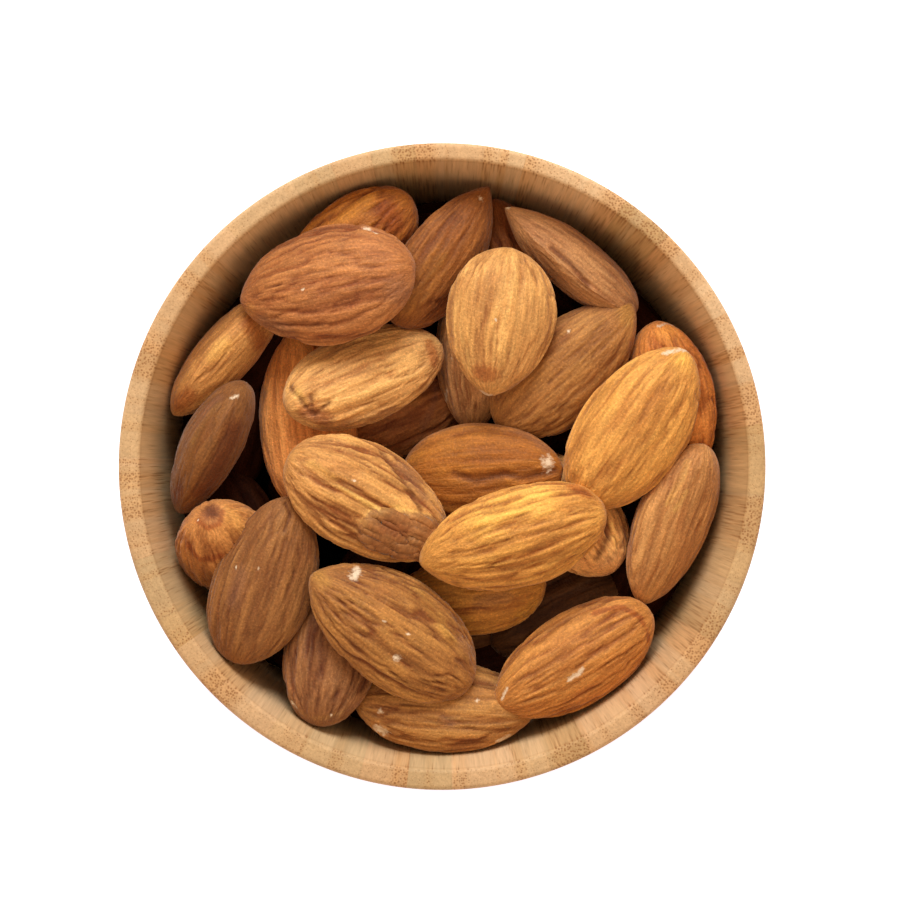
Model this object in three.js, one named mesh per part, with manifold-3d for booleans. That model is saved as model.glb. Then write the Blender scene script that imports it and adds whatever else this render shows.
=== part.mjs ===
// A small round bamboo bowl, heaped with whole brown-skinned almonds.
// Millimetres, +Z up. The bowl stands on z = 0 with its axis on Z, and +Y is the top of the view from above.

import * as THREE from 'three';
import { mergeVertices } from 'three/addons/utils/BufferGeometryUtils.js';
import Module from 'manifold-3d';

// ---- bowl ----
const rimRadius = 44;
const bowlHeight = 40;
const rimWidth = 2.7;
const rimRounding = 0.7;
const wallLean = 10.5; // degrees, the inner wall's lean outwards
const kneeHeight = 17; // where the leaning wall turns in to the floor
const kneeWall = 3.7; // wall thickness at the knee
const innerFloorRadius = 23;
const floorThickness = 5;
const footRadius = 24.5;
const bowlSides = 56;
const curveSteps = 3;

// ---- heap ----
const clearance = 0.4; // between the almonds and the bowl
const coreMiddle = 24; // top of the packed core on the axis
const coreEdge = 26.5; // and where it meets the wall
const coreSides = 40;
const almondSides = 12;
const almondRings = 10;

// Fullness along an almond from its blunt base to its tip: t^base * (1 - t)^tip, scaled to 1 at its peak.
const widthForm = { base: 0.52, tip: 0.66 };
const thicknessForm = { base: 0.48, tip: 0.55 };

// The almonds that show, from the deepest to the topmost. Each row is [x, y, height from the rim, heading of the
// tip, pitch (tip up), roll, length, width, thickness], in millimetres and degrees, for the almond's middle.
const deepAlmonds = [
  [-5.9, 7.4, -17.5, 25, -5, -5, 22, 13, 8.4],
  [3.4, -24.5, -19.0, 10, 0, 0, 22, 13, 8.4],
  [16.8, -20.7, -16.5, 205, 8, -8, 22, 13, 8.4],
  [8.9, 27.2, -16.0, 100, 8, 8, 21, 13, 8.4],
  [4.4, 15.6, -12.5, 268, -10, 42, 22, 12.5, 8.2],
  [-19.5, 4.8, -12.5, 98, -10, -10, 24, 14, 8.4],
  [3.9, -18.3, -12.5, 185, -10, 10, 21, 12.5, 8.4],
  [18.4, -6.6, -14.0, 125, -10, 10, 21, 13.5, 8.6],
  [32.8, 9.5, -11.0, 282, -10, 25, 22.5, 12.5, 8.4],
];

// The ring along the wall, clockwise from the top of the view. Some stand on edge, and one stands tip down.
const wallAlmonds = [
  [0.0, 29.3, -8.0, 56, -8, 34, 22.5, 12.3, 8.2],
  [18.4, 28.8, -9.5, 142, 8, 70, 23.5, 12.5, 8.2],
  [31.9, -7.7, -10.0, 249, -10, -45, 23.5, 13.2, 8.4],
  [18.6, -27.0, -9.5, 211, 8, -10, 25, 13.2, 8.6],
  [0.0, -33.8, -9.5, -2, -12, -16, 24, 13.5, 8.4],
  [-15.2, -25.0, -8.0, 79, -12, -4, 23, 13.3, 8.6],
  [-31.2, -11.7, -11.0, 268, -50, 5, 21, 13.2, 8.6],
  [-31.7, 2.7, -8.5, 242, -8, 82, 20.5, 12.5, 8.6],
  [-30.5, 15.2, -11.0, 228, 5, 80, 23, 12.5, 7.8],
  [-14.4, 30.3, -9.0, 208, -10, -20, 23, 13.6, 8.6],
];

const topAlmonds = [
  [17.1, 13.6, -8.5, 42, 2, 6, 25, 13.8, 8.4],
  [5.5, -1.3, -8.5, 4, 10, 10, 22.5, 15, 8.8],
  [-24.5, -15.5, -5.0, 70, 12, 2, 24, 13.8, 8.6],
  [-10.5, 12.4, -7.5, 22, -10, -10, 24, 13.4, 8.8],
  [-10.4, -4.6, -3.5, -29, -12, -12, 25.5, 15, 8.8],
  [-15.7, 24.7, -2.5, 190, -12, 8, 25, 16.2, 8.6],
  [7.9, 19.6, -3.0, 262, 3, -3, 20.5, 15, 8.4],
  [26.3, 5.3, -5.5, 55, 4, 4, 26, 15, 8.8],
  [-6.7, -22.5, -3.5, 145, 12, 12, 27, 15.2, 8.8],
  [9.8, -9.7, -3.0, 196, 5, -9, 26.5, 14, 8.8],
];

// ---- the bowl's inner surface ----
const rimInner = rimRadius - rimWidth;
const lean = Math.tan(THREE.MathUtils.degToRad(wallLean));
const kneeInner = rimInner - (bowlHeight - kneeHeight) * lean;

// How far from the axis the contents reach at a height: the leaning wall's radius, less the clearance.
function roomRadius(z) {
  return rimInner - (bowlHeight - z) * lean - clearance;
}

// ---- bowl ----
// The profile runs from the axis under the foot, up the outside, over the rim and down to the axis again.
function makeBowl() {
  const profile = new THREE.Path();
  profile.moveTo(0, 0);
  profile.lineTo(footRadius, 0);
  const kneeOuter = kneeInner + kneeWall;
  profile.absellipse(footRadius, kneeHeight, kneeOuter - footRadius, kneeHeight, -Math.PI / 2, 0, false);
  profile.lineTo(rimRadius, bowlHeight - rimRounding);
  profile.absarc(rimRadius - rimRounding, bowlHeight - rimRounding, rimRounding, 0, Math.PI / 2, false);
  profile.lineTo(rimInner + rimRounding, bowlHeight);
  profile.absarc(rimInner + rimRounding, bowlHeight - rimRounding, rimRounding, Math.PI / 2, Math.PI, false);
  profile.lineTo(kneeInner, kneeHeight);
  const innerTurn = kneeInner - innerFloorRadius;
  const innerDrop = kneeHeight - floorThickness;
  profile.absellipse(innerFloorRadius, kneeHeight, innerTurn, innerDrop, 0, -Math.PI / 2, true);
  profile.lineTo(0, floorThickness);
  return new THREE.LatheGeometry(profile.getPoints(curveSteps), bowlSides).rotateX(Math.PI / 2);
}

// ---- almonds ----
// Fullness from 0 to 1 at t, the distance along the almond from its base as a part of its length.
function fullness(t, form) {
  const peak = form.base / (form.base + form.tip);
  const shape = (at) => at ** form.base * (1 - at) ** form.tip;
  return shape(t) / shape(peak);
}

// One almond lying along X, tip towards +X: a sphere whose rings are drawn in to the almond's outline.
function makeAlmond(length, width, thickness) {
  const almond = new THREE.SphereGeometry(1, almondSides, almondRings).rotateZ(-Math.PI / 2);
  const point = new THREE.Vector3();
  const places = almond.getAttribute('position');
  for (let i = 0; i < places.count; i++) {
    point.fromBufferAttribute(places, i);
    const t = THREE.MathUtils.clamp((point.x + 1) / 2, 0, 1);
    const around = Math.atan2(point.z, point.y);
    const y = (width / 2) * fullness(t, widthForm) * Math.cos(around);
    const z = (thickness / 2) * fullness(t, thicknessForm) * Math.sin(around);
    places.setXYZ(i, (t - 0.5) * length, y, z);
  }
  return almond;
}

// Turns an almond into its place, then moves it towards the axis until it clears the bowl's wall.
function placeAlmond([x, y, fromRim, heading, pitch, roll, length, width, thickness]) {
  const turn = new THREE.Euler(
    THREE.MathUtils.degToRad(roll),
    THREE.MathUtils.degToRad(-pitch),
    THREE.MathUtils.degToRad(heading),
    'ZYX',
  );
  const almond = makeAlmond(length, width, thickness);
  almond.applyQuaternion(new THREE.Quaternion().setFromEuler(turn)).translate(x, y, bowlHeight + fromRim);
  const places = almond.getAttribute('position');
  let excess = 0;
  for (let i = 0; i < places.count; i++) {
    const reach = Math.hypot(places.getX(i), places.getY(i));
    excess = Math.max(excess, reach - roomRadius(places.getZ(i)));
  }
  const away = Math.hypot(x, y);
  return almond.translate((-x / away) * excess, (-y / away) * excess, 0);
}

// The packed almonds that don't show: one body that fills the bowl's lower part.
function makeCore() {
  const profile = new THREE.Path();
  const bottom = floorThickness + clearance;
  profile.moveTo(0, bottom);
  profile.lineTo(innerFloorRadius, bottom);
  const turn = roomRadius(kneeHeight) - innerFloorRadius;
  profile.absellipse(innerFloorRadius, kneeHeight, turn, kneeHeight - bottom, -Math.PI / 2, 0, false);
  profile.lineTo(roomRadius(coreEdge), coreEdge);
  profile.quadraticCurveTo(innerFloorRadius, coreMiddle, 0, coreMiddle);
  return new THREE.LatheGeometry(profile.getPoints(curveSteps), coreSides).rotateX(Math.PI / 2);
}

// ---- joining ----
const wasm = await Module();
wasm.setup();

function toSolid(geometry) {
  geometry.deleteAttribute('normal');
  geometry.deleteAttribute('uv');
  const merged = mergeVertices(geometry, 1e-4);
  return new wasm.Manifold(
    new wasm.Mesh({
      numProp: 3,
      vertProperties: merged.getAttribute('position').array,
      triVerts: merged.getIndex().array,
    }),
  );
}

function toGeometry(solid) {
  const mesh = solid.getMesh();
  const geometry = new THREE.BufferGeometry();
  geometry.setAttribute('position', new THREE.BufferAttribute(mesh.vertProperties, 3));
  geometry.setIndex(new THREE.BufferAttribute(mesh.triVerts, 1));
  geometry.computeVertexNormals();
  return geometry;
}

// The heap is one body: the core with every almond joined on. Sealed gaps between almonds are filled,
// so that only the outer skin is left.
function makeHeap() {
  let heap = toSolid(makeCore());
  for (const row of [...deepAlmonds, ...wallAlmonds, ...topAlmonds]) {
    heap = heap.add(toSolid(placeAlmond(row)));
  }
  const skins = heap.decompose();
  return toGeometry(skins.reduce((largest, skin) => (skin.volume() > largest.volume() ? skin : largest)));
}

// ---- the part ----
const bambooFinish = new THREE.MeshStandardMaterial({ color: 0xd8ab74, roughness: 0.6, metalness: 0 });
const almondSkin = new THREE.MeshStandardMaterial({ color: 0xb0703c, roughness: 0.75, metalness: 0 });

const bowl = new THREE.Mesh(makeBowl(), bambooFinish);
bowl.name = 'bowl';

const almondHeap = new THREE.Mesh(makeHeap(), almondSkin);
almondHeap.name = 'almond_heap';

const group = new THREE.Group();
group.add(bowl, almondHeap);

export default group;
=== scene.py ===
import math
from functools import partial

import bpy
import numpy as np
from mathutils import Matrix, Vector


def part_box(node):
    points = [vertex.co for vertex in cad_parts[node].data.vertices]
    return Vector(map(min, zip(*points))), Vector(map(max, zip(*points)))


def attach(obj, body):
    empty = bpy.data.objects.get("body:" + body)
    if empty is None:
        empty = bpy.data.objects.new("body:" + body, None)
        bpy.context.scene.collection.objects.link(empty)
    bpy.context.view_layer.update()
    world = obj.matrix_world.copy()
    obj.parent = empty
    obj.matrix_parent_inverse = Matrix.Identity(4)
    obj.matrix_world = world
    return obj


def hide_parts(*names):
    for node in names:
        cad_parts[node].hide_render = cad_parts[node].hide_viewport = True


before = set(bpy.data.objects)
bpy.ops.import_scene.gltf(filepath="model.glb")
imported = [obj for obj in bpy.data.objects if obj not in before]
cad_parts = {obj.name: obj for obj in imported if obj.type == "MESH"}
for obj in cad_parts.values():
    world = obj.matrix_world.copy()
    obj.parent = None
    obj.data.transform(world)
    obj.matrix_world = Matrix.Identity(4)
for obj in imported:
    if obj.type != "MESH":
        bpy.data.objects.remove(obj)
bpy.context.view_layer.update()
scene = bpy.context.scene
mm = 0.001


def hexToLinear(code, gain=1.0):
    values = [int(code[i:i + 2], 16) / 255 for i in (1, 3, 5)]
    linear = [v / 12.92 if v <= 0.04045 else ((v + 0.055) / 1.055) ** 2.4 for v in values]
    return (*[v * gain for v in linear], 1.0)


def addNode(tree, kind, links=None, out=0, **settings):
    # adds one node, sets it, fills or links its inputs, and gives back an output, or the node if out is None
    node = tree.nodes.new(kind)
    for name, value in settings.items():
        setattr(node, name, value)
    for key, value in (links or {}).items():
        if isinstance(value, bpy.types.NodeSocket):
            tree.links.new(value, node.inputs[key])
        else:
            node.inputs[key].default_value = value
    return node if out is None else node.outputs[out]


def newMaterial(name):
    material = bpy.data.materials.new(name)
    material.use_nodes = True
    material.node_tree.nodes.clear()
    return material, partial(addNode, material.node_tree)


def addObject(mesh):
    piece = bpy.data.objects.new(mesh.name, mesh)
    scene.collection.objects.link(piece)
    return piece


view = {
    "imageSize": (900, 911),  # pixels
    "bowlCentre": (442.1, 466.5),  # where the bowl's axis meets the rim's plane, in pixels
    "pixel": 0.1358,  # mm a pixel at the rim
    "distance": 500,  # mm from the rim's plane
}
light = {
    "towards": (-0.05, 1.0),  # the key light stands beyond the top of the view
    "elevation": 38,
    "distance": 600,  # mm
    "size": 360,
    "power": 3.45,  # watts
    "keyColour": "#fafeff",
    "skyColour": "#ffe0c0",
    "sky": 0.82,
}
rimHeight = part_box("bowl")[1].z / mm


def makeCamera():
    wide, high = view["imageSize"]
    offX = (wide / 2 - view["bowlCentre"][0]) * view["pixel"]
    offY = (view["bowlCentre"][1] - high / 2) * view["pixel"]
    camera = bpy.data.objects.new("camera", bpy.data.cameras.new("camera"))
    camera.data.lens = camera.data.sensor_width * view["distance"] / (high * view["pixel"])
    camera.data.clip_start = 0.01
    camera.location = (offX * mm, offY * mm, (rimHeight + view["distance"]) * mm)  # looks straight down
    scene.collection.objects.link(camera)
    scene.camera = camera


def makeLight():
    key = bpy.data.objects.new("key", bpy.data.lights.new("key", "AREA"))
    key.data.shape = "DISK"
    key.data.size = light["size"] * mm
    key.data.energy = light["power"]
    key.data.color = hexToLinear(light["keyColour"])[:3]
    tilt = math.radians(light["elevation"])
    across = Vector(light["towards"]).normalized() * math.cos(tilt)
    direction = Vector((across.x, across.y, math.sin(tilt)))
    key.location = direction * light["distance"] * mm + Vector((0, 0, rimHeight * mm))
    key.rotation_euler = direction.to_track_quat("Z", "Y").to_euler()
    scene.collection.objects.link(key)
    scene.world = bpy.data.worlds.new("studio")
    scene.world.use_nodes = True
    sky = scene.world.node_tree.nodes["Background"]
    sky.inputs["Color"].default_value = hexToLinear(light["skyColour"])
    sky.inputs["Strength"].default_value = light["sky"]
    scene.view_settings.view_transform = "Standard"


makeCamera()
makeLight()
print("camera and light ready")

bowlShape = {  # mm, the same turned shape as the solid
    "rimRadius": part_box("bowl")[1].x / mm,
    "rimWidth": 2.7,
    "rimRounding": 0.7,
    "wallLean": 10.5,
    "kneeHeight": 17,
    "kneeWall": 3.7,
    "innerFloorRadius": 23,
    "floorThickness": 5,
    "footRadius": 24.5,
    "innerShift": (0.25, 0.22),  # the hollow is turned a little off centre
    "sides": 288,
    "curveSteps": 12,
}
rimInner = bowlShape["rimRadius"] - bowlShape["rimWidth"]
lean = math.tan(math.radians(bowlShape["wallLean"]))
kneeInner = rimInner - (rimHeight - bowlShape["kneeHeight"]) * lean
clearance = 0.4  # between the almonds and the bowl


def roomRadius(z):
    return rimInner - (rimHeight - z) * lean - clearance


def arc(centre, radii, start, end, steps):
    turns = np.radians(np.linspace(start, end, steps + 1))
    return [(centre[0] + radii[0] * math.cos(a), centre[1] + radii[1] * math.sin(a)) for a in turns]


def bowlOutline():
    s = bowlShape
    steps = s["curveSteps"]
    knee, foot, floor = s["kneeHeight"], s["footRadius"], s["floorThickness"]
    rounding = (s["rimRounding"], s["rimRounding"])
    rimTop = rimHeight - s["rimRounding"]
    kneeOuter = kneeInner + s["kneeWall"]
    outerLean = math.degrees(math.atan((s["rimRadius"] - kneeOuter) / (rimTop - knee)))
    turnOut = arc((foot, knee), (kneeOuter - foot, knee), -90, 0, steps)
    rimOut = arc((s["rimRadius"] - rounding[0], rimTop), rounding, -outerLean, 90, steps)
    rimIn = arc((rimInner + rounding[0], rimTop), rounding, 90, 180 - s["wallLean"], steps)
    flat = s["innerFloorRadius"]
    turnIn = arc((flat, knee), (kneeInner - flat, knee - floor), 0, -90, steps)
    outside = [(foot * 0.5, 0), *turnOut, *wallRings(turnOut[-1], rimOut[0]), *rimOut]
    inside = [*rimIn, *wallRings(rimIn[-1], turnIn[0]), *turnIn, (flat * 0.5, floor)]
    return outside, inside


def wallRings(start, end):
    # two rings near the ends of a straight wall keep its shading even
    return [tuple(a + (b - a) * part for a, b in zip(start, end)) for part in (0.03, 0.97)]


def latheMesh(name, outside, inside, sides, shift=(0, 0)):
    # turns the outline round Z, from the axis under the foot, up the outside and down the inside to the axis
    rings = np.array(outside + inside)
    moved = np.array([0] * len(outside) + [1] * len(inside))
    turns = np.linspace(0, 2 * math.pi, sides, endpoint=False)
    x = rings[:, :1] * np.cos(turns) + moved[:, None] * shift[0]
    y = rings[:, :1] * np.sin(turns) + moved[:, None] * shift[1]
    z = np.repeat(rings[:, 1:], sides, axis=1)
    points = np.stack([x, y, z], axis=-1).reshape(-1, 3)
    points = np.vstack([points, [0, 0, rings[0, 1]], [*shift, rings[-1, 1]]]) * mm
    bottom, top = len(points) - 2, len(points) - 1
    faces = []
    for ring in range(len(rings) - 1):
        for side in range(sides):
            a, b = ring * sides + side, ring * sides + (side + 1) % sides
            faces.append((a, b, b + sides, a + sides))
    last = (len(rings) - 1) * sides
    for side in range(sides):
        after = (side + 1) % sides
        faces.append((bottom, after, side))
        faces.append((top, last + side, last + after))
    mesh = bpy.data.meshes.new(name)
    mesh.from_pydata(points.tolist(), [], faces)
    mesh.polygons.foreach_set("use_smooth", [True] * len(mesh.polygons))
    mesh.update()
    return mesh


def fillRamp(ramp, stops):
    elements = ramp.color_ramp.elements
    while len(elements) < len(stops):
        elements.new(0.5)
    for element, (place, code) in zip(elements, stops):
        element.position = place
        element.color = hexToLinear(code)


bamboo = {
    "staves": 38,  # upright strips glued side by side, about 7.3 mm each at the rim
    "staveShift": 0.35,  # where the joints stand, as a part of a stave
    "fibreLean": 9.3,  # degrees; a little less than the walls, which so cut the fibres into long dashes
    "bundleSpacing": 0.36,  # mm between the dark fibre bundles
    "streakSpacing": 0.3,
    "dotColour": "#84552e",
    "crowdColour": "#f3dcc0",  # the warmer ground where the bundles crowd
    "crowded": (95, 56, 46, 11, -11, -34, -66, 225, 160),  # degrees round the bowl where they crowd most
    "wallTint": (1.17, 1.22, 1.27),  # the inner wall is made paler than the rim by these factors
    "tones": ("#c2a87f", "#d5bb98", "#ccae88", "#bda984", "#d1b391"),
}


def makeBambooMaterial():
    # Turned bamboo, sanded and thinly oiled. The eye sees a satin tan with one soft tone a stave, dots where
    # the fibre bundles are cut across on the rim, crowded to one side of some staves, and thin upright
    # streaks on the walls, where the same bundles are cut along.
    b = bamboo
    material, add = newMaterial("turnedBamboo")
    place = add("ShaderNodeVectorMath", {0: add("ShaderNodeTexCoord", out=3), 3: 1000}, operation="SCALE")
    xyz = add("ShaderNodeSeparateXYZ", {0: place}, out=None).outputs
    flat = add("ShaderNodeVectorMath", {0: place, 1: (1, 1, 0)}, operation="MULTIPLY")
    reach = add("ShaderNodeVectorMath", {0: flat}, out=1, operation="LENGTH")
    down = add("ShaderNodeMath", {0: rimHeight, 1: xyz[2]}, operation="SUBTRACT")
    down = add("ShaderNodeMath", {0: down, 1: math.tan(math.radians(b["fibreLean"]))}, operation="MULTIPLY")
    grow = add("ShaderNodeMath", {0: down, 1: reach}, operation="DIVIDE")
    grow = add("ShaderNodeMath", {0: grow, 1: 1}, operation="ADD")
    fibres = add("ShaderNodeVectorMath", {0: flat, 3: grow}, operation="SCALE")
    lift = add("ShaderNodeCombineXYZ", {"Z": xyz[2]})
    fibres = add("ShaderNodeVectorMath", {0: lift, 1: (0, 0, 0.03), 2: fibres}, operation="MULTIPLY_ADD")
    rimRound = add("ShaderNodeVectorMath", {0: flat}, operation="NORMALIZE")
    rimRound = add("ShaderNodeVectorMath", {0: rimRound, 3: bowlShape["rimRadius"]}, operation="SCALE")

    turn = add("ShaderNodeMath", {0: xyz[1], 1: xyz[0]}, operation="ARCTAN2")
    firstJoint = b["staves"] / 2 + b["staveShift"]
    stave = add("ShaderNodeMath", {0: turn, 1: b["staves"] / (2 * math.pi), 2: firstJoint},
                operation="MULTIPLY_ADD")
    uneven = add("ShaderNodeTexNoise", {"Vector": rimRound, "Scale": 0.07, "Detail": 0})
    stave = add("ShaderNodeMath", {0: uneven, 1: 1.8, 2: stave}, operation="MULTIPLY_ADD")
    number = add("ShaderNodeMath", {0: stave}, operation="FLOOR")
    across = add("ShaderNodeMath", {0: stave}, operation="FRACT")
    pick = add("ShaderNodeTexWhiteNoise", {"W": number}, out=None, noise_dimensions="1D").outputs
    tones = add("ShaderNodeValToRGB", {0: pick[0]}, out=None)
    fillRamp(tones, [(i / 4, code) for i, code in enumerate(b["tones"])])

    clouds = add("ShaderNodeTexNoise", {"Vector": fibres, "Scale": 0.45, "Detail": 3, "Roughness": 0.55})
    cloudTone = add("ShaderNodeMapRange", {"Value": clouds, "From Min": 0.3, "From Max": 0.7,
                                           "To Min": 0.92, "To Max": 1.08})
    colour = add("ShaderNodeVectorMath", {0: tones.outputs[0], 3: cloudTone}, operation="SCALE")
    streaks = add("ShaderNodeTexNoise", {"Vector": fibres, "Scale": 0.8 / b["streakSpacing"], "Detail": 2,
                                         "Roughness": 0.6})
    streakTone = add("ShaderNodeMapRange", {"Value": streaks, "From Min": 0.32, "From Max": 0.68,
                                            "To Min": 0.88, "To Max": 1.1})
    colour = add("ShaderNodeVectorMath", {0: colour, 3: streakTone}, operation="SCALE")
    joint = add("ShaderNodeMath", {0: across, 1: 0.5}, operation="SUBTRACT")
    joint = add("ShaderNodeMath", {0: joint}, operation="ABSOLUTE")
    joint = add("ShaderNodeMapRange", {"Value": joint, "From Min": 0.47, "From Max": 0.495,
                                       "To Min": 1, "To Max": 0.93})
    colour = add("ShaderNodeVectorMath", {0: colour, 3: joint}, operation="SCALE")

    # crowd says how thick the bundles stand, from 0 to 1: most at one side of some staves, in uneven patches
    strength = add("ShaderNodeSeparateColor", {0: pick[1]}, out=1)
    strength = add("ShaderNodeMapRange", {"Value": strength, "From Min": 0.45, "From Max": 1,
                                          "To Max": 0.75})
    crowd = add("ShaderNodeMath", {0: across, 1: 2.6}, operation="POWER")
    crowd = add("ShaderNodeMath", {0: crowd, 1: strength}, operation="MULTIPLY")
    patchy = add("ShaderNodeTexNoise", {"Vector": rimRound, "Scale": 0.4, "Detail": 2})
    patchy = add("ShaderNodeMapRange", {"Value": patchy, "From Min": 0.52, "From Max": 0.72, "To Max": 0.5})
    crowd = add("ShaderNodeMath", {0: patchy, 1: crowd}, operation="ADD")
    for degrees in b["crowded"]:
        away = add("ShaderNodeMath", {0: turn, 1: math.radians(degrees)}, operation="SUBTRACT")
        away = add("ShaderNodeMath", {0: away, 1: -math.pi, 2: math.pi}, operation="WRAP")
        away = add("ShaderNodeMath", {0: away}, operation="ABSOLUTE")
        near = add("ShaderNodeMapRange", {"Value": away, "From Min": 0.025, "From Max": 0.085,
                                          "To Min": 0.75, "To Max": 0})
        crowd = add("ShaderNodeMath", {0: crowd, 1: near}, operation="ADD")
    crowd = add("ShaderNodeMath", {0: crowd}, operation="ADD", use_clamp=True)
    warm = add("ShaderNodeMath", {0: crowd, 1: 0.9}, operation="MULTIPLY")
    ground = add("ShaderNodeMix", {"Factor": warm, 6: (1, 1, 1, 1), 7: hexToLinear(b["crowdColour"])}, out=2,
                 data_type="RGBA")
    colour = add("ShaderNodeVectorMath", {0: colour, 1: ground}, operation="MULTIPLY")

    # the walls start just under the rim's rounding, and the inner one is within the middle of the rim
    onWall = add("ShaderNodeMapRange", {"Value": xyz[2], "From Min": rimHeight - 1.2,
                                        "From Max": rimHeight - 0.4, "To Min": 1, "To Max": 0})
    innerWall = add("ShaderNodeMath", {0: reach, 1: down}, operation="ADD")
    innerWall = add("ShaderNodeMapRange", {"Value": innerWall, "From Min": rimInner + 1,
                                           "From Max": rimInner + 1.7, "To Min": 1, "To Max": 0})
    innerWall = add("ShaderNodeMath", {0: innerWall, 1: onWall}, operation="MULTIPLY")
    paler = add("ShaderNodeMix", {"Factor": innerWall, 6: (1, 1, 1, 1), 7: (*b["wallTint"], 1)}, out=2,
                data_type="RGBA")
    colour = add("ShaderNodeVectorMath", {0: colour, 1: paler}, operation="MULTIPLY")

    bundles = add("ShaderNodeTexVoronoi", {"Vector": fibres, "Scale": 1 / b["bundleSpacing"],
                                           "Randomness": 0.85})
    size = add("ShaderNodeMapRange", {"Value": crowd, "From Min": 0.05, "From Max": 0.9,
                                      "To Min": 0.04, "To Max": 0.52})
    edge = add("ShaderNodeMath", {0: size, 1: 0.3}, operation="SUBTRACT")
    dot = add("ShaderNodeMapRange", {"Value": bundles, "From Min": edge, "From Max": size,
                                     "To Min": 1, "To Max": 0})
    dark = add("ShaderNodeMath", {0: onWall, 1: -0.28, 2: 0.7}, operation="MULTIPLY_ADD")
    dark = add("ShaderNodeMath", {0: dot, 1: dark}, operation="MULTIPLY")
    colour = add("ShaderNodeMix", {"Factor": dark, 6: colour, 7: hexToLinear(b["dotColour"])}, out=2,
                 data_type="RGBA")
    height = add("ShaderNodeMath", {0: dot, 1: -0.6, 2: streaks}, operation="MULTIPLY_ADD")
    bump = add("ShaderNodeBump", {"Strength": 0.5, "Distance": 0.00008, "Height": height})
    shader = add("ShaderNodeBsdfPrincipled", {"Base Color": colour, "Roughness": 0.6, "IOR": 1.5,
                                              "Specular IOR Level": 0.2, "Normal": bump})
    add("ShaderNodeOutputMaterial", {"Surface": shader}, out=None)
    return material


bowl = addObject(latheMesh("bamboo_bowl", *bowlOutline(), bowlShape["sides"], bowlShape["innerShift"]))
bowl.data.materials.append(makeBambooMaterial())
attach(bowl, "root")
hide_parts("bowl")
print("bowl ready")

almondShape = {
    "width": (0.52, 0.60),  # fullness t^base * (1 - t)^tip from the blunt base to the tip
    "thickness": (0.48, 0.55),
    "keel": 0.22,  # how far the rim of the kernel is drawn out to an edge
    "nib": 0.15,  # mm, how far the very tip is drawn out
    "ridges": 1,  # strength of the wrinkles
    "bow": 0.5,  # mm, how far a kernel may bend to one side
    "lumpSpacing": 7.5,  # mm
    "lumpDepth": 0.65,
    "furrowSpacing": 1.2,
    "furrowDepth": 0.42,
    "furrowRun": 18,  # how many times longer than wide the furrows are
    "sides": 144,
    "rings": 69,
}
# The almonds that show, each within 2 mm or so of its place in the solid: x, y, height from the rim's plane,
# heading of the tip, pitch, roll, length, width, thickness, and the colour of the skin. Millimetres and
# degrees.
deepAlmonds = {
    "wellMiddle": (-5.9, 7.4, -17.5, 25, -5, -5, 22, 13, 8.4, "#a2673b"),
    # these two, the deepest down the gaps, have skins darkened with painted shade
    "wellBottom": (3.4, -24.5, -19.0, 10, 0, 0, 22, 13, 8.4, "#7c5129"),
    "wellLowerRight": (16.8, -20.7, -16.5, 205, 8, -8, 22, 13, 8.4, "#5c3b1f"),
    "wellTop": (8.9, 27.2, -16.0, 100, 8, 8, 21, 13, 8.4, "#985b31"),
    "underGolden": (4.4, 15.6, -12.5, 268, -10, 42, 22, 12.5, 8.2, "#c18f60"),
    "leftUpright": (-18.7, 6.2, -12.9, 95, -6, -10, 27, 14, 8.4, "#f0a45e"),
    "belowMiddle": (4.0, -17.6, -12.0, 185, -8, 10, 21, 11.8, 8.4, "#c48a40"),
    "rightOfMiddle": (18.0, -6.6, -11.8, 125, -8, 10, 20, 13, 8.6, "#edb371"),
    "behindRight": (32.3, 9.2, -11.0, 282, -10, 25, 22.5, 12.5, 8.4, "#cd8442"),
}
wallAlmonds = {
    "top": (0.1, 29.9, -8.1, 56, -3, 34, 22.5, 12.3, 8.2, "#925b2c"),
    "upperRightOnEdge": (18.1, 28.2, -9.4, 142, 8, 74, 22.5, 12.3, 7.8, "#b6865a"),
    "right": (32.2, -8.0, -10.0, 249, -8, -45, 23.8, 13.0, 8.4, "#c6925c"),
    "lowerRight": (18.6, -27.0, -8.8, 211, 6, -10, 25, 13.2, 8.6, "#bc8143"),
    "bottom": (0.3, -34.0, -9.2, -4, -4, -20, 25.2, 13.2, 8.2, "#aa7944"),
    "lowerLeftUpright": (-15.2, -25.0, -8.0, 79, -12, -4, 23, 13.3, 8.6, "#90623d"),
    "leftTipDown": (-31.5, -12.2, -10.3, 292, -55, 5, 20, 13.4, 10.4, "#c3874e"),
    "leftOnEdge": (-31.9, 2.7, -8.5, 242, -8, 88, 20.5, 12.5, 8.3, "#83562c"),
    "upperLeftOnEdge": (-31.2, 15.8, -11.2, 228, 4, 96, 21.5, 12.5, 7.8, "#cd975a"),
    "upperLeftBehind": (-13.2, 31.2, -8.0, 217, -8, -20, 22, 12.8, 8.6, "#a7682a"),
}
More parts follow.
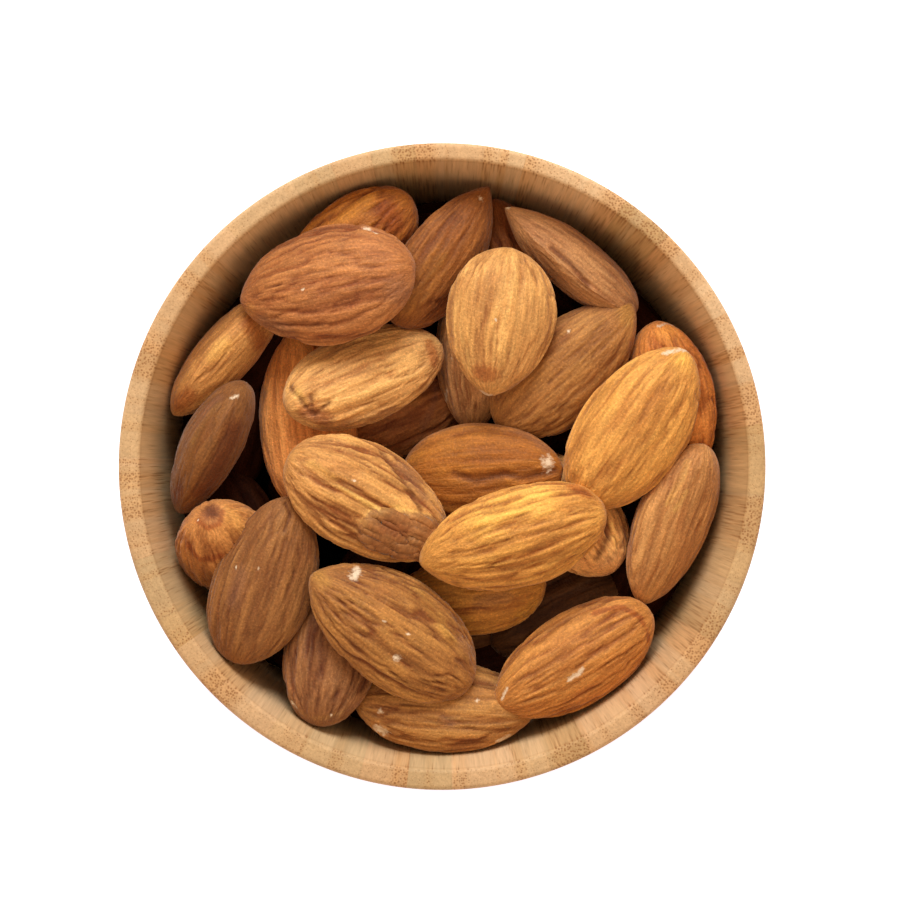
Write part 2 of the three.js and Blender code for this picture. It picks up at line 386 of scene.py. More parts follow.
topAlmonds = {
    "brownRight": (17.1, 13.6, -8.5, 42, 2, 6, 25, 13.8, 8.4, "#a5733f"),
    "middle": (5.5, -1.3, -8.5, 4, 10, 10, 22.5, 15, 8.8, "#a76b2a"),
    "speckledLeft": (-24.8, -15.9, -4.6, 70, 6, 2, 24.2, 14.0, 8.6, "#946539"),
    "paleUpperLeft": (-10.9, 12.4, -7.5, 22, -10, -10, 23.4, 13.2, 8.8, "#e1af6f"),
    "flapped": (-10.3, -4.6, -3.5, -29, -12, -12, 25.3, 15, 8.8, "#c59155"),
    "broadUpperLeft": (-15.6, 24.8, -2.5, 190, -12, 8, 24.8, 16.3, 8.6, "#ab7042"),
    "golden": (7.9, 19.8, -3.0, 262, 3, -3, 20.3, 15, 8.4, "#cd9b5e"),
    "orangeRight": (26.3, 5.2, -5.5, 55, 4, 4, 25.8, 14.8, 8.8, "#d89f54"),
    "broadBottom": (-6.7, -22.5, -3.5, 145, 12, 12, 27, 15.2, 8.8, "#a3713c"),
    "goldenMiddle": (9.8, -9.7, -3.0, 196, 5, -9, 26.5, 14, 8.8, "#d1994f"),
}

# Where a kernel differs from the usual form above.
ownShape = {
    "upperRightOnEdge": {"keel": 0.6, "nib": 0.9, "width": (0.6, 0.8), "ridges": 0.6},
    "leftOnEdge": {"keel": 0.5, "ridges": 0.5},
    "upperLeftOnEdge": {"keel": 0.45, "ridges": 0.5},
    "golden": {"nib": 0.3, "width": (0.5, 0.62), "ridges": 0.75},
    "middle": {"ridges": 0.6},
    "brownRight": {"nib": 0.3, "width": (0.52, 0.66), "ridges": 0.8},
    "top": {"nib": 0.5, "width": (0.52, 0.7), "ridges": 0.8},
    "right": {"width": (0.5, 0.54), "ridges": 0.6},
    "orangeRight": {"width": (0.52, 0.56), "ridges": 0.75},
    "paleUpperLeft": {"width": (0.5, 0.52), "ridges": 0.8},
    "flapped": {"ridges": 1.4},
    "leftTipDown": {"ridges": 0.8},
    "leftUpright": {"ridges": 0.5},
    "broadBottom": {"nib": 0.4, "ridges": 1.4},
    "speckledLeft": {"width": (0.5, 0.58), "ridges": 0.75},
    "lowerLeftUpright": {"ridges": 1.2},
    "lowerRight": {"width": (0.5, 0.56)},
    "bottom": {"width": (0.52, 0.56)},
}

# Marks on single kernels: the kind, its width in mm, and the photo's pixels that it runs through. A chip
# shows the white flesh, bloom is a lilac-grey dusty patch, the gilt kind a thin golden patch and on some
# kernels a painted highlight, the rust kind a dark patch and on some kernels painted shade, a crease is a
# fold, sunk into the skin and darkened with painted shade, and a flap is loose skin that stands up a little.
skinMarks = {
    "broadUpperLeft": (
        ("chip", 0.7, [(366, 227), (375, 231)]),
        ("chip", 0.35, [(302, 289)]),
        ("bloom", 3.4, [(398, 290), (404, 296)]),
        ("bloom", 2.2, [(262, 322), (285, 332)]),
        ("giltAndHighlight", 1.6, [(241, 315), (250, 311)]),
    ),
    "top": (
        ("chip", 0.8, [(483, 198)]),
        ("giltAndHighlight", 3.2, [(408, 312), (440, 262)]),
    ),
    "upperRightOnEdge": (
        ("chip", 0.8, [(507, 204)]),
        ("bloom", 2.4, [(632, 306), (644, 316)]),
        # painted shade: a dark line along the keel, where the lit face meets the shaded one, over a sunk
        # groove
        ("crease", 0.8, [(552, 246), (572, 262), (590, 285)]),
    ),
    "golden": (
        ("chip", 0.9, [(478, 397), (491, 398)]),
        ("chip", 0.4, [(496, 322)]),
        ("rustAndShade", 2.2, [(479, 373), (489, 375)]),
        ("bloom", 1.2, [(545, 390), (528, 415)]),
    ),
    "underGolden": (
        ("chip", 0.9, [(445, 391), (444, 403)]),
        ("chip", 0.4, [(450, 357)]),
        ("bloom", 1.4, [(439, 300), (438, 340), (444, 380)]),
    ),
    "middle": (
        ("chip", 1.7, [(549, 460), (549, 467)]),
        ("bloom", 1.7, [(410, 447), (440, 428), (480, 420), (520, 428), (548, 448)]),
        # painted shade: a dark line along the fold, where the upper face turns away from the light
        ("crease", 1.0, [(452, 474), (475, 480), (503, 474), (523, 479), (541, 476), (557, 472)]),
    ),
    "brownRight": (
        ("giltAndHighlight", 2.6, [(622, 303), (629, 318)]),
        ("chip", 0.4, [(569, 330)]),
        ("bloom", 1.6, [(575, 308), (612, 303)]),
    ),
    "orangeRight": (
        ("chip", 0.9, [(665, 351), (688, 346)]),
        ("giltAndHighlight", 3.0, [(684, 360)]),
    ),
    "behindRight": (
        ("chip", 0.6, [(660, 324), (668, 320), (677, 324)]),
        ("giltAndHighlight", 3.0, [(668, 333)]),
    ),
    "right": (
        # painted highlights along the lit ridges
        ("giltAndHighlight", 0.9, [(689, 460), (681, 478), (668, 503)]),
        ("giltAndHighlight", 0.7, [(687, 492), (676, 512)]),
    ),
    "leftOnEdge": (
        ("chip", 0.6, [(231, 396), (236, 394)]),
        ("bloom", 2.0, [(215, 400), (185, 440)]),
        ("rustAndShade", 1.6, [(172, 500), (178, 488)]),
        # painted shade on the face turned from the light, and a painted highlight on the lit face
        ("rustAndShade", 3.0, [(236, 430), (222, 462), (204, 492)]),
        ("giltAndHighlight", 1.2, [(216, 404), (190, 440)]),
    ),
    "upperLeftOnEdge": (
        # painted shade on the side turned from the light
        ("rustAndShade", 2.6, [(252, 326), (262, 344)]),
        ("giltAndHighlight", 2.4, [(212, 356), (222, 345)]),
        ("rustAndShade", 2.4, [(176, 405), (190, 398)]),
    ),
    "leftTipDown": (
        ("bloom", 2.8, [(209, 511)]),
        ("rustAndShade", 2.6, [(210, 509)]),
        ("crease", 2.0, [(206, 505), (214, 510)]),
        ("rustAndShade", 1.0, [(186, 545), (200, 562), (222, 556)]),
        ("rustAndShade", 0.8, [(196, 520), (206, 527), (220, 522), (224, 510)]),
        ("giltAndHighlight", 3.0, [(232, 516), (238, 528)]),
        ("chip", 0.3, [(197, 518)]),
    ),
    "speckledLeft": (
        ("chip", 0.3, [(234, 568)]),
        ("chip", 0.45, [(259, 569)]),
        ("bloom", 2.2, [(240, 572), (232, 600)]),
        ("crease", 0.5, [(285, 500), (291, 514), (286, 530)]),
    ),
    "paleUpperLeft": (
        ("bloom", 2.2, [(307, 416), (328, 424)]),
        ("bloom", 1.4, [(345, 425), (395, 408)]),
        ("giltAndHighlight", 1.2, [(296, 392), (303, 404)]),
        ("rustAndShade", 2.6, [(307, 412), (322, 419)]),
        ("rustAndShade", 1.6, [(431, 344), (437, 362)]),
        ("crease", 0.8, [(288, 386), (300, 400), (312, 415)]),
        ("crease", 0.7, [(310, 396), (313, 415)]),
        ("crease", 0.7, [(329, 403), (315, 416)]),
    ),
    "flapped": (
        ("flap", 6.0, [(383, 531), (420, 537)]),
        # a painted highlight along the flap's raised left and top edge
        ("giltAndHighlight", 0.9, [(366, 540), (363, 520), (372, 511), (400, 510), (432, 516)]),
        ("rustAndShade", 2.0, [(386, 526), (400, 530)]),
        ("crease", 0.9, [(382, 451), (396, 470), (410, 492), (424, 510)]),
        ("bloom", 2.0, [(402, 465), (425, 495)]),
        ("chip", 0.4, [(354, 480)]),
        ("giltAndHighlight", 1.2, [(312, 462), (350, 492), (380, 512)]),
    ),
    "broadBottom": (
        ("chip", 1.3, [(355, 575), (359, 568)]),
        ("chip", 1.0, [(397, 659)]),
        ("chip", 0.4, [(386, 622)]),
        ("chip", 0.3, [(408, 634)]),
        ("giltAndHighlight", 2.0, [(318, 573), (324, 580)]),
        ("giltAndHighlight", 2.0, [(415, 590), (450, 640)]),
        ("bloom", 1.8, [(462, 640), (474, 652)]),
    ),
    "goldenMiddle": (
        ("giltAndHighlight", 4.4, [(478, 524), (505, 510), (538, 498)]),
        ("rustAndShade", 1.8, [(572, 484), (586, 492)]),
    ),
    "rightOfMiddle": (
        ("crease", 1.0, [(605, 514), (609, 534), (597, 560)]),
        ("giltAndHighlight", 1.0, [(612, 525), (618, 546)]),
        ("bloom", 1.2, [(634, 520), (612, 560), (576, 578)]),
    ),
    "belowMiddle": (
        ("bloom", 2.0, [(478, 602), (505, 597)]),
        ("giltAndHighlight", 2.0, [(524, 614), (536, 606)]),
    ),
    "wellMiddle": (
        ("giltAndHighlight", 2.4, [(412, 398), (420, 390)]),
        ("bloom", 1.0, [(437, 388), (434, 405), (425, 428)]),
    ),
    "lowerLeftUpright": (
        ("chip", 0.5, [(289, 702), (295, 709)]),
        ("chip", 0.5, [(333, 716)]),
        ("giltAndHighlight", 0.9, [(284, 696), (299, 714), (322, 721), (344, 714)]),
        ("bloom", 0.9, [(282, 690), (300, 717), (330, 722), (362, 702)]),
    ),
    "bottom": (
        ("chip", 1.3, [(379, 731), (384, 734)]),
        ("chip", 1.0, [(499, 742), (510, 738)]),
        ("chip", 0.8, [(381, 713)]),
        ("chip", 0.6, [(476, 700)]),
        ("bloom", 1.2, [(442, 718), (452, 722)]),
    ),
    "lowerRight": (
        ("chip", 0.7, [(570, 680), (582, 672)]),
        ("chip", 0.45, [(501, 699), (505, 689)]),
        ("rustAndShade", 0.8, [(594, 612), (620, 605), (640, 616), (650, 640)]),
    ),
    "upperLeftBehind": (
        ("rustAndShade", 3.2, [(384, 208), (392, 222)]),
        ("giltAndHighlight", 2.4, [(345, 212), (368, 200)]),
    ),
    "leftUpright": (
        ("bloom", 1.2, [(263, 392), (259, 440)]),
    ),
}

# The layer under the almonds that show, seen only down the gaps: a ring along the wall, and a middle spread
# by the golden angle. Millimetres and degrees, with heights from the rim's plane.
under = {
    # a near-black skin: painted shade for the deep layer
    "kernel": (23, 13, 8.4, "#32170a"),
    "ringCount": 13,
    "ringRadius": 31.5,
    "ringStart": 5,
    "ringHeight": -18.6,
    "ringStep": 0.8,  # every other one lies this much higher
    "ringPitch": 4,
    "ringRoll": 12,
    "middleCount": 11,
    "middleRadius": 21,
    "middleSpin": 137.508,
    "middleHeight": -21.5,
    "middleStep": 1.2,
    "middlePitch": 6,
    "middleRoll": 8,
    "headingSpin": 2.3,  # how many times faster the headings turn than the places
    "sides": 64,
    "rings": 28,
}


def hiddenAlmonds():
    rows = {}
    for i in range(under["ringCount"]):
        turn = 360 / under["ringCount"] * i + under["ringStart"]
        across = under["ringRadius"] * math.cos(math.radians(turn))
        up = under["ringRadius"] * math.sin(math.radians(turn))
        height = under["ringHeight"] + under["ringStep"] * (i % 2)
        pitch = under["ringPitch"] * (i % 3 - 1)
        rows[f"ring{i}"] = (across, up, height, turn + 90, pitch, under["ringRoll"], *under["kernel"])
    for i in range(under["middleCount"]):
        away = under["middleRadius"] * math.sqrt((i + 0.5) / under["middleCount"])
        turn = i * under["middleSpin"]
        across, up = away * math.cos(math.radians(turn)), away * math.sin(math.radians(turn))
        height = under["middleHeight"] + under["middleStep"] * (i % 3)
        pitch, roll = under["middlePitch"] * (i % 3 - 1), under["middleRoll"] * (i % 2)
        rows[f"middle{i}"] = (across, up, height, turn * under["headingSpin"], pitch, roll, *under["kernel"])
    return rows


def makeSeeds(name, rows, seed):
    # one point for each almond, which carries its place, turn, size, form, colour and part of each pattern
    draw = np.random.default_rng(seed)
    table = np.array([row[:9] for row in rows.values()], float)
    shapes = [{**almondShape, **ownShape.get(key, {})} for key in rows]
    count = len(table)
    mesh = bpy.data.meshes.new(name + "_seeds")
    mesh.from_pydata([(0, 0, 0)] * count, [], [])
    values = {
        "middle": table[:, :3] + [0, 0, rimHeight],
        "turn": np.radians(np.stack([table[:, 5], -table[:, 4], table[:, 3]], axis=1)),
        "size": table[:, 6:9],
        "widthForm": np.array([formOf(*shape["width"]) for shape in shapes]),
        "thickForm": np.array([formOf(*shape["thickness"]) for shape in shapes]),
        "habit": np.array([(shape["keel"], shape["nib"], shape["ridges"]) for shape in shapes]),
        "bend": draw.uniform(-1, 1, (count, 3)) * almondShape["bow"],
        "shift": draw.uniform(50, 500, (count, 3)),
        "tone": np.array([hexToLinear(row[9])[:3] for row in rows.values()]),
        "number": np.repeat(np.arange(count)[:, None], 3, axis=1),
    }
    for key, rowsOf in values.items():
        stored = mesh.attributes.new(key, "FLOAT_VECTOR", "POINT").data
        stored.foreach_set("vector", rowsOf.astype(np.float32).ravel())
    return addObject(mesh)


def formOf(base, tip):
    peak = base / (base + tip)
    return base, tip, 1 / (peak ** base * (1 - peak) ** tip)


def makeAlmondTree():
    # One point becomes one almond. A ball's rings are drawn in to the kernel's outline in its own frame, tip
    # along X, lumps and lengthwise furrows are pushed along the normals, and it is turned and set in place.
    tree = bpy.data.node_groups.new("almondForm", "GeometryNodeTree")
    interface = tree.interface
    interface.new_socket("Geometry", in_out="OUTPUT", socket_type="NodeSocketGeometry")
    interface.new_socket("Geometry", in_out="INPUT", socket_type="NodeSocketGeometry")
    for name, kind in (("Sides", "Int"), ("Rings", "Int"), ("Lump spacing", "Float"),
                       ("Lump depth", "Float"), ("Furrow spacing", "Float"), ("Furrow depth", "Float"),
                       ("Furrow run", "Float"), ("Skin", "Material")):
        interface.new_socket(name, in_out="INPUT", socket_type="NodeSocket" + kind)
    add = partial(addNode, tree)
    given = add("NodeGroupInput", out=None).outputs

    ballMesh = add("GeometryNodeMeshUVSphere", {"Segments": given["Sides"], "Rings": given["Rings"]})
    ballMesh = add("GeometryNodeStoreNamedAttribute",
                   {"Geometry": ballMesh, "Name": "ball", "Value": add("GeometryNodeInputPosition")},
                   data_type="FLOAT_VECTOR", domain="POINT")
    copies = add("GeometryNodeInstanceOnPoints", {"Points": given["Geometry"], "Instance": ballMesh})
    body = add("GeometryNodeRealizeInstances", {"Geometry": copies})

    stored = {}
    for key in ("ball", "size", "bend", "habit", "widthForm", "thickForm", "shift", "turn", "middle",
                "local", "grain"):
        stored[key] = add("GeometryNodeInputNamedAttribute", {"Name": key}, data_type="FLOAT_VECTOR")
    ball = add("ShaderNodeSeparateXYZ", {0: stored["ball"]}, out=None)
    size = add("ShaderNodeSeparateXYZ", {0: stored["size"]}, out=None)
    bend = add("ShaderNodeSeparateXYZ", {0: stored["bend"]}, out=None)
    keel, nib, ridges = add("ShaderNodeSeparateXYZ", {0: stored["habit"]}, out=None).outputs
    along = add("ShaderNodeMapRange", {"Value": ball.outputs[2], "From Min": -1, "From Max": 1})
    left = add("ShaderNodeMath", {0: 1, 1: along}, operation="SUBTRACT")
    flat = add("ShaderNodeCombineXYZ", {"X": ball.outputs[0], "Y": ball.outputs[1]})
    outward = add("ShaderNodeVectorMath", {0: flat}, operation="NORMALIZE")
    around = add("ShaderNodeSeparateXYZ", {0: outward}, out=None)

    full = {}
    for key in ("widthForm", "thickForm"):
        form = add("ShaderNodeSeparateXYZ", {0: stored[key]}, out=None)
        fromBase = add("ShaderNodeMath", {0: along, 1: form.outputs[0]}, operation="POWER")
        fromTip = add("ShaderNodeMath", {0: left, 1: form.outputs[1]}, operation="POWER")
        both = add("ShaderNodeMath", {0: fromBase, 1: fromTip}, operation="MULTIPLY")
        full[key] = add("ShaderNodeMath", {0: both, 1: form.outputs[2]}, operation="MULTIPLY")

    halfWidth = add("ShaderNodeMath", {0: size.outputs[1], 1: 0.5}, operation="MULTIPLY")
    halfWidth = add("ShaderNodeMath", {0: halfWidth, 1: full["widthForm"]}, operation="MULTIPLY")
    halfThick = add("ShaderNodeMath", {0: size.outputs[2], 1: 0.5}, operation="MULTIPLY")
    halfThick = add("ShaderNodeMath", {0: halfThick, 1: full["thickForm"]}, operation="MULTIPLY")
    steep = add("ShaderNodeMath", {0: around.outputs[1]}, operation="ABSOLUTE")
    steep = add("ShaderNodeMath", {0: steep, 1: keel}, operation="POWER")
    rise = add("ShaderNodeMath", {0: around.outputs[1], 1: steep}, operation="MULTIPLY")
    middleOf = add("ShaderNodeMath", {0: along, 1: left}, operation="MULTIPLY")
    middleOf = add("ShaderNodeMath", {0: middleOf, 1: 4, 2: -0.6}, operation="MULTIPLY_ADD")
    sideways = add("ShaderNodeMath", {0: middleOf, 1: bend.outputs[0]}, operation="MULTIPLY")
    upwards = add("ShaderNodeMath", {0: middleOf, 1: bend.outputs[1]}, operation="MULTIPLY")
    x = add("ShaderNodeMath", {0: along, 1: 0.5}, operation="SUBTRACT")
    x = add("ShaderNodeMath", {0: x, 1: size.outputs[0]}, operation="MULTIPLY")
    atTip = add("ShaderNodeMath", {0: along, 1: 30}, operation="POWER")
    x = add("ShaderNodeMath", {0: atTip, 1: nib, 2: x}, operation="MULTIPLY_ADD")
    y = add("ShaderNodeMath", {0: halfWidth, 1: around.outputs[0], 2: sideways}, operation="MULTIPLY_ADD")
    z = add("ShaderNodeMath", {0: halfThick, 1: rise, 2: upwards}, operation="MULTIPLY_ADD")
    local = add("ShaderNodeCombineXYZ", {"X": x, "Y": y, "Z": z})
    body = add("GeometryNodeSetPosition", {"Geometry": body, "Position": local})
    body = add("GeometryNodeStoreNamedAttribute", {"Geometry": body, "Name": "local",
               "Value": add("GeometryNodeInputPosition")}, data_type="FLOAT_VECTOR", domain="POINT")

    # the furrows draw together towards base and tip, but less than the outline does, as some of them run out
    spread = add("ShaderNodeMath", {0: full["widthForm"], 1: 0.03}, operation="MAXIMUM")
    spread = add("ShaderNodeMath", {0: spread, 1: -0.5}, operation="POWER")
    widen = add("ShaderNodeCombineXYZ", {"X": 1, "Y": spread, "Z": spread})
    grain = add("ShaderNodeVectorMath", {0: stored["local"], 1: widen, 2: stored["shift"]},
                operation="MULTIPLY_ADD")
    body = add("GeometryNodeStoreNamedAttribute", {"Geometry": body, "Name": "grain", "Value": grain},
               data_type="FLOAT_VECTOR", domain="POINT")
    grain = stored["grain"]
    warp = add("ShaderNodeTexNoise", {"Vector": grain, "Scale": 0.16, "Detail": 2}, out=1)
    warp = add("ShaderNodeVectorMath", {0: warp, 1: (0.5, 0.5, 0.5)}, operation="SUBTRACT")
    bent = add("ShaderNodeVectorMath", {0: warp, 1: (0, 2.0, 2.0), 2: grain}, operation="MULTIPLY_ADD")
    shorter = add("ShaderNodeMath", {0: 1, 1: given["Furrow run"]}, operation="DIVIDE")
    squeeze = add("ShaderNodeCombineXYZ", {"X": shorter, "Y": 1, "Z": 1})
    bent = add("ShaderNodeVectorMath", {0: bent, 1: squeeze}, operation="MULTIPLY")
    relief = []
    for finer, part in ((1.0, 0.65), (2.1, 0.35)):
        lattice = add("ShaderNodeMath", {0: finer / 1.7, 1: given["Furrow spacing"]}, operation="DIVIDE")
        waves = add("ShaderNodeTexNoise", {"Vector": bent, "Scale": lattice, "Detail": 2.2,
                                           "Roughness": 0.5})
        away = add("ShaderNodeMath", {0: waves, 1: 0.5}, operation="SUBTRACT")
        away = add("ShaderNodeMath", {0: away}, operation="ABSOLUTE")
        relief.append(add("ShaderNodeMapRange", {"Value": away, "From Min": 0, "From Max": 0.085,
                                                 "To Max": part}, interpolation_type="SMOOTHSTEP"))
    relief = add("ShaderNodeMath", {0: relief[0], 1: relief[1]}, operation="ADD")
    # the wrinkles are deep in some patches, and run out towards base and tip
    patchy = add("ShaderNodeTexNoise", {"Vector": grain, "Scale": 0.2, "Detail": 1})
    patchy = add("ShaderNodeMapRange", {"Value": patchy, "From Min": 0.36, "From Max": 0.6,
                                        "To Min": 0.7, "To Max": 1.12})
    fade = add("ShaderNodeMapRange", {"Value": full["widthForm"], "From Min": 0.25, "From Max": 0.8})
    patchy = add("ShaderNodeMath", {0: patchy, 1: fade}, operation="MULTIPLY")
    patchy = add("ShaderNodeMath", {0: patchy, 1: ridges}, operation="MULTIPLY")
    relief = add("ShaderNodeMath", {0: relief, 1: 0.75}, operation="SUBTRACT")
    relief = add("ShaderNodeMath", {0: relief, 1: patchy, 2: 0.75}, operation="MULTIPLY_ADD")
    body = add("GeometryNodeStoreNamedAttribute", {"Geometry": body, "Name": "relief", "Value": relief},
               data_type="FLOAT", domain="POINT")
    relief = add("GeometryNodeInputNamedAttribute", {"Name": "relief"}, data_type="FLOAT")
    raised = add("ShaderNodeMath", {0: relief, 1: 0.7}, operation="SUBTRACT")
    raised = add("ShaderNodeMath", {0: raised, 1: given["Furrow depth"]}, operation="MULTIPLY")
    lumpScale = add("ShaderNodeMath", {0: 1, 1: given["Lump spacing"]}, operation="DIVIDE")
    lumps = add("ShaderNodeTexNoise", {"Vector": grain, "Scale": lumpScale, "Detail": 1})
    lumps = add("ShaderNodeMath", {0: lumps, 1: 0.55}, operation="SUBTRACT")
    lumps = add("ShaderNodeMath", {0: lumps, 1: given["Lump depth"], 2: raised}, operation="MULTIPLY_ADD")
    push = add("ShaderNodeVectorMath", {0: add("GeometryNodeInputNormal"), 3: lumps}, operation="SCALE")
    body = add("GeometryNodeSetPosition", {"Geometry": body, "Offset": push})

    turned = add("ShaderNodeVectorRotate", {"Vector": add("GeometryNodeInputPosition"),
                                            "Rotation": stored["turn"]}, rotation_type="EULER_XYZ")
    placed = add("ShaderNodeVectorMath", {0: turned, 1: stored["middle"]}, operation="ADD")
    placed = add("ShaderNodeVectorMath", {0: placed, 3: mm}, operation="SCALE")
    body = add("GeometryNodeSetPosition", {"Geometry": body, "Position": placed})
    body = add("GeometryNodeSetShadeSmooth", {"Geometry": body})
    body = add("GeometryNodeRealizeInstances", {"Geometry": body})
    body = add("GeometryNodeSetMaterial", {"Geometry": body, "Material": given["Skin"]})
    add("NodeGroupOutput", {"Geometry": body}, out=None)
    return tree


skinLook = {
    # noise in the kernel's own frame: its stretch along the kernel, cells a mm, octaves
    "patches": (0.45, 0.22, 2),
    "bands": (0.09, 0.6, 2),
    "threads": (0.08, 2.3, 3),
    "grit": (1, 2.6, 3),
    "raggedEdge": (1, 1.8, 3),
    "specks": 4.2,  # cells a mm
    # what the skin's colour is multiplied by at the low and at the high end
    "patchTint": ((0.9, 0.84, 0.8), (1.08, 1.11, 1.06)),
    "bandTint": ((0.88, 0.84, 0.8), (1.1, 1.12, 1.14)),
    # darker in the furrows, lighter on the ridges: partly the skin's own colour, partly painted shade in the
    # furrows
    "furrowToneAndShade": ((0.46, 0.29, 0.21), (1.13, 1.13, 1.08)),
    # golden and dark patches, which on some kernels are painted highlights and painted shade
    "giltAndHighlightTint": ((1, 1, 1), (1.22, 1.4, 1.25)),
    "rustAndShadeTint": ((1, 1, 1), (0.62, 0.4, 0.3)),
    "bloomColour": "#80563f",
    "flapColour": "#7e4a2a",
    # painted shade laid along the creases
    "creaseShadeColour": "#5c2c10",
    "fleshColour": "#e8d4b8",
    "dustColour": "#f2e4dc",
}


def makeSkinMaterial(name, sheen, specular):
    # Dried almond skin: a thin papery seed coat, dusty and matte. The eye sees golden ridges, red-brown
    # furrows, fine pale grit, orange and brown patches, a grey bloom where the skin was rubbed, white chips.
    look = skinLook
    material, add = newMaterial(name)
    grain = add("ShaderNodeAttribute", out=1, attribute_name="grain")
    colour = add("ShaderNodeAttribute", attribute_name="tone")

    def pattern(key, low=0, high=1):
        # noise in the kernel's own frame, spread to the range from low to high
        stretch, scale, detail = look[key]
        drawn = add("ShaderNodeVectorMath", {0: grain, 1: (stretch, 1, 1)}, operation="MULTIPLY")
        noise = add("ShaderNodeTexNoise", {"Vector": drawn, "Scale": scale, "Detail": detail,
                                           "Roughness": 0.6})
        return add("ShaderNodeMapRange", {"Value": noise, "From Min": 0.34, "From Max": 0.66,
                                          "To Min": low, "To Max": high})

    ragged = pattern("raggedEdge", -0.13, 0.13)

    def markMask(name, low, high, most=1.0, rough=1.0):
        # a mark's field is 1 on its line and 0 at its width's end; noise makes the edge uneven
        field = add("ShaderNodeAttribute", out=2, attribute_name=name)
        field = add("ShaderNodeMath", {0: ragged, 1: rough, 2: field}, operation="MULTIPLY_ADD")
        return add("ShaderNodeMapRange", {"Value": field, "From Min": low, "From Max": high, "To Max": most},
                   interpolation_type="SMOOTHSTEP")

    relief = add("ShaderNodeAttribute", out=2, attribute_name="relief")
    for factor, (low, high) in (
        (pattern("patches"), look["patchTint"]),
        (pattern("bands"), look["bandTint"]),
        # the furrows' dark colour is partly the skin's own and partly painted shade in the hollows
        (relief, look["furrowToneAndShade"]),
        # golden and dark marks: patches of the skin, and on some kernels painted highlights and painted shade
        (markMask("giltAndHighlight", 0.15, 0.9, 0.8), look["giltAndHighlightTint"]),
        (markMask("rustAndShade", 0.15, 0.8, 0.85), look["rustAndShadeTint"]),
    ):
        mixed = add("ShaderNodeMix", {"Factor": factor, 6: (*low, 1), 7: (*high, 1)}, out=2,
                    data_type="RGBA")
        colour = add("ShaderNodeVectorMath", {0: colour, 1: mixed}, operation="MULTIPLY")
    for name, low, high, most, rough, code in (
        ("bloom", 0.1, 0.95, 0.5, 1, look["bloomColour"]),
        ("flap", 0.42, 0.5, 0.7, 0.25, look["flapColour"]),
        # the crease's dark colour is painted shade in the fold, over the sunk groove
        ("crease", 0.2, 0.95, 0.75, 0.5, look["creaseShadeColour"]),
    ):
        mask = markMask(name, low, high, most, rough)
        colour = add("ShaderNodeMix", {"Factor": mask, 6: colour, 7: hexToLinear(code)}, out=2,
                     data_type="RGBA")
    threads = pattern("threads", 0.82, 1.17)
    grit = pattern("grit", 0.84, 1.15)
    both = add("ShaderNodeMath", {0: threads, 1: grit}, operation="MULTIPLY")
    specks = add("ShaderNodeTexNoise", {"Vector": grain, "Scale": look["specks"], "Detail": 1})
    specks = add("ShaderNodeMapRange", {"Value": specks, "From Min": 0.57, "From Max": 0.7, "To Max": 0.32})
    both = add("ShaderNodeMath", {0: specks, 1: both}, operation="ADD")
    colour = add("ShaderNodeVectorMath", {0: colour, 3: both}, operation="SCALE")
    chips = markMask("chip", 0.28, 0.95, 0.95, 1.9)
    colour = add("ShaderNodeMix", {"Factor": chips, 6: colour, 7: hexToLinear(look["fleshColour"])}, out=2,
                 data_type="RGBA")

    height = add("ShaderNodeMath", {0: threads, 1: 0.8, 2: grit}, operation="MULTIPLY_ADD")
    bump = add("ShaderNodeBump", {"Strength": 0.8, "Distance": 0.0002, "Height": height})
    shader = add("ShaderNodeBsdfPrincipled", {"Base Color": colour, "Roughness": 0.58, "IOR": 1.45,
                                              "Specular IOR Level": specular, "Sheen Weight": sheen,
                                              "Sheen Roughness": 0.4,
                                              "Sheen Tint": hexToLinear(look["dustColour"]), "Normal": bump})
    add("ShaderNodeOutputMaterial", {"Surface": shader}, out=None)
    return material


def readAttribute(mesh, name):
    values = np.empty(len(mesh.vertices) * 3, np.float32)
    mesh.attributes[name].data.foreach_get("vector", values)
    return values.reshape(-1, 3)


def readPoints(mesh, key="co"):
    values = np.empty(len(mesh.vertices) * 3, np.float32)
    mesh.vertices.foreach_get(key, values)
    return values.reshape(-1, 3)


def writePoints(mesh, points):
    mesh.vertices.foreach_set("co", points.astype(np.float32).ravel())
    mesh.update()


def growAlmonds(name, rows, seed, sides, rings, skin):
    seeds = makeSeeds(name, rows, seed)
    change = seeds.modifiers.new("almondForm", "NODES")
    change.node_group = almondTree
    given = {"Sides": sides, "Rings": rings, "Lump spacing": almondShape["lumpSpacing"],
             "Lump depth": almondShape["lumpDepth"], "Furrow spacing": almondShape["furrowSpacing"],
             "Furrow depth": almondShape["furrowDepth"], "Furrow run": float(almondShape["furrowRun"]),
             "Skin": skin}
    for item in almondTree.interface.items_tree:
        if item.in_out == "INPUT" and item.name in given:
            change[item.identifier] = given[item.name]
    seeds.update_tag()
    depsgraph = bpy.context.evaluated_depsgraph_get()
    mesh = bpy.data.meshes.new_from_object(seeds.evaluated_get(depsgraph))
    mesh.name = name
    seeds.modifiers.clear()
    bpy.data.objects.remove(seeds)
    keepInBowl(mesh)
    markSkin(mesh, rows)
    for spare in ("ball", "size", "middle", "turn", "widthForm", "thickForm", "habit", "bend", "shift",
                  "local", "number"):
        if spare in mesh.attributes:
            mesh.attributes.remove(mesh.attributes[spare])
    return addObject(mesh)


def keepInBowl(mesh):
    # an almond that reaches past the wall's clearance moves straight towards the axis, as in the solid
    points = readPoints(mesh) / mm
    number = readAttribute(mesh, "number")[:, 0].round().astype(int)
    middle = readAttribute(mesh, "middle")
    for i in range(number.max() + 1):
        own = number == i
        excess = np.hypot(points[own, 0], points[own, 1]) - roomRadius(points[own, 2])
        centre = middle[own][0, :2]
        points[own, :2] -= centre / np.hypot(*centre) * max(0, excess.max())
    writePoints(mesh, points * mm)


markLift = {"chip": -0.1, "crease": -0.36, "flap": 1.0}  # mm, how far a mark stands out of the skin
flapFurrows = {"level": 0.85, "evenness": 0.75}  # a flap is smoother, so its furrows are drawn to one level


